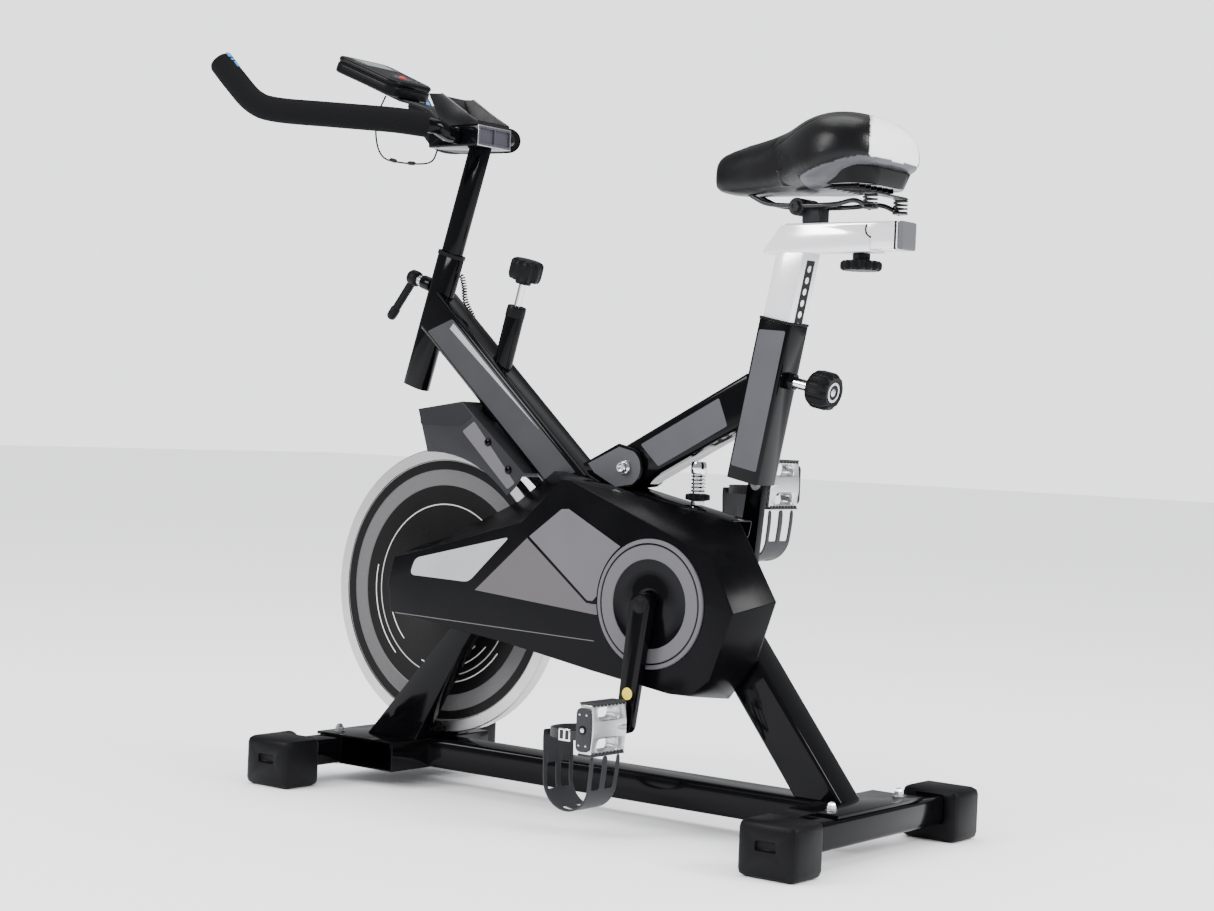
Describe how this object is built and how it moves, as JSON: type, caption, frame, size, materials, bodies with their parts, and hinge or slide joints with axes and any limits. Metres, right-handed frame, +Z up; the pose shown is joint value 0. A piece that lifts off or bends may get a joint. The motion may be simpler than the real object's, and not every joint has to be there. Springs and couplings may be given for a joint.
{
  "type": "exercise bike",
  "caption": "Indoor cycling bike with a heavy belt-driven flywheel, screw-down friction brake, sprung seat arm and sliding saddle and handlebar.",
  "frame": {"origin": "on the floor under the centre of the bounding box", "axes": "+Z up, -X to the front of the bike, -Y to the rider's left (the belt guard's side)"},
  "size_m": [1.1396, 0.493, 1.1384],
  "materials": {
    "frame_black": "gloss black powder coat",
    "chrome": "polished chrome plate",
    "satin_silver": "satin",
    "black_plastic": "fine moulded grain",
    "guard_plastic": "semi-gloss",
    "rubber": "matte",
    "foam": "matte closed-cell foam",
    "leather": "semi-matte grained vinyl",
    "cast_iron": "grey enamel with a bright rim",
    "red": "satin",
    "felt": "felt pad on a plastic shoe"
  },
  "bodies": {
    "frame": {"base_frame": "frame_black", "front_stabilizer": "frame_black", "rear_stabilizer": "frame_black", "foot_cap_front_left": "black_plastic", "foot_cap_front_right": "black_plastic", "foot_cap_rear_left": "black_plastic", "foot_cap_rear_right": "black_plastic", "head_tube": "frame_black", "head_bush": "black_plastic", "down_tube": "frame_black", "fork_left": "frame_black", "fork_right": "frame_black", "bottom_bracket": "frame_black", "rear_leg": "frame_black", "rear_strut": "frame_black", "brake_guide_tube": "frame_black", "belt_guard_inner": "guard_plastic", "belt_guard_outer": "guard_plastic", "crank_cover_ring": "satin_silver", "flywheel_guard": "guard_plastic", "drive_belt": "rubber", "pivot_bracket": "frame_black", "pivot_bolt": "chrome", "shock_absorber": "chrome", "curly_cord": "rubber"},
    "flywheel_set": {"flywheel": "cast_iron", "flywheel_axle": "satin_silver"},
    "crank_set": {"crank_axle": "satin_silver", "drive_pulley": "black_plastic", "crank_left": "frame_black", "crank_right": "frame_black"},
    "pedal_set_left": {"pedal_left": "satin_silver", "toe_cage_left": "black_plastic"},
    "pedal_set_right": {"pedal_right": "satin_silver", "toe_cage_right": "black_plastic"},
    "wheel_left": {"transport_wheel_left": "rubber"},
    "wheel_right": {"transport_wheel_right": "rubber"},
    "brake_screw": {"brake_knob": "black_plastic"},
    "brake_slider": {"brake_shoe": "felt"},
    "lever": {"clamp_lever": "black_plastic"},
    "handlebar": {"handlebar_post": "frame_black", "handlebar_stem": "frame_black", "handlebar_bar": "frame_black", "grip_left": "foam", "grip_right": "foam", "console": "black_plastic", "console_bracket": "black_plastic", "console_lead": "rubber"},
    "button": {"console_button": "red"},
    "sprung_arm": {"seat_arm": "frame_black"},
    "pull_knob": {"seat_post_knob": "black_plastic"},
    "seat_lift": {"seat_post": "chrome", "slide_channel": "chrome"},
    "slide_clamp": {"slide_knob": "black_plastic"},
    "seat_slide": {"slide_bar": "chrome", "slide_end_cap": "black_plastic", "saddle_clamp": "black_plastic"},
    "saddle_set": {"saddle": "leather", "saddle_rails": "satin_silver"}
  },
  "joints": [
    {"name": "flywheel_spin", "type": "hinge", "parent": "frame", "child": "flywheel_set", "pos_m": [-0.2403, 0, 0.3003], "axis": [0, 1, 0], "continuous": true},
    {"name": "crank_spin", "type": "hinge", "parent": "frame", "child": "crank_set", "pos_m": [0.2274, 0, 0.3207], "axis": [0, 1, 0], "continuous": true},
    {"name": "pedal_left_spin", "type": "hinge", "parent": "crank_set", "child": "pedal_set_left", "pos_m": [0.2079, -0.178, 0.1518], "axis": [0, 1, 0], "continuous": true},
    {"name": "pedal_right_spin", "type": "hinge", "parent": "crank_set", "child": "pedal_set_right", "pos_m": [0.2469, 0.178, 0.4896], "axis": [0, 1, 0], "continuous": true},
    {"name": "wheel_left_spin", "type": "hinge", "parent": "frame", "child": "wheel_left", "pos_m": [-0.4272, -0.15, 0.0455], "axis": [0, 1, 0], "continuous": true},
    {"name": "wheel_right_spin", "type": "hinge", "parent": "frame", "child": "wheel_right", "pos_m": [-0.4272, 0.15, 0.0455], "axis": [0, 1, 0], "continuous": true},
    {"name": "brake_turn", "type": "hinge", "parent": "frame", "child": "brake_screw", "pos_m": [-0.1126, 0, 0.7806], "axis": [-0.257, 0, -0.9664], "range_deg": [0, 720]},
    {"name": "brake_press", "type": "slide", "parent": "frame", "child": "brake_slider", "axis": [-0.257, 0, -0.9664], "range_m": [0, 0.0036]},
    {"name": "lever_turn", "type": "hinge", "parent": "frame", "child": "lever", "pos_m": [-0.3166, 0, 0.7803], "axis": [0.9563, 0, -0.2924], "range_deg": [-180, 180]},
    {"name": "handlebar_lift", "type": "slide", "parent": "frame", "child": "handlebar", "axis": [0.2924, 0, 0.9563], "range_m": [-0.14, 0]},
    {"name": "button_press", "type": "slide", "parent": "handlebar", "child": "button", "axis": [-0.3746, 0, -0.9272], "range_m": [0, 0.0012], "stiffness_N_per_m": 400, "springref_m": -0.0005},
    {"name": "seat_suspension", "type": "hinge", "parent": "frame", "child": "sprung_arm", "pos_m": [0.1188, 0, 0.507], "axis": [0, 1, 0], "range_deg": [0, 5], "stiffness_Nm_per_rad": 3400, "springref_deg": -0.57, "deforming": ["shock_absorber"]},
    {"name": "pull_knob_travel", "type": "slide", "parent": "sprung_arm", "child": "pull_knob", "axis": [0.981, 0, -0.1942], "range_m": [0, 0.008], "stiffness_N_per_m": 600, "springref_m": -0.003},
    {"name": "seat_height", "type": "slide", "parent": "sprung_arm", "child": "seat_lift", "axis": [0.1942, 0, 0.981], "range_m": [-0.088, 0.012]},
    {"name": "slide_clamp_turn", "type": "hinge", "parent": "seat_lift", "child": "slide_clamp", "pos_m": [0.4808, 0, 0.8147], "axis": [0, 0, 1], "range_deg": [0, 720]},
    {"name": "seat_fore_aft", "type": "slide", "parent": "seat_lift", "child": "seat_slide", "axis": [1, 0, 0], "range_m": [-0.035, 0.045]},
    {"name": "saddle_tilt", "type": "hinge", "parent": "seat_slide", "child": "saddle_set", "pos_m": [0.3868, 0, 0.8785], "axis": [0, 1, 0], "range_deg": [-8, 3]}
  ],
  "couplings": [
    {"joint": "crank_spin", "follows": "flywheel_spin", "ratio": 0.25},
    {"joint": "brake_press", "follows": "brake_turn", "m_per_rad": 0.00027852}
  ]
}
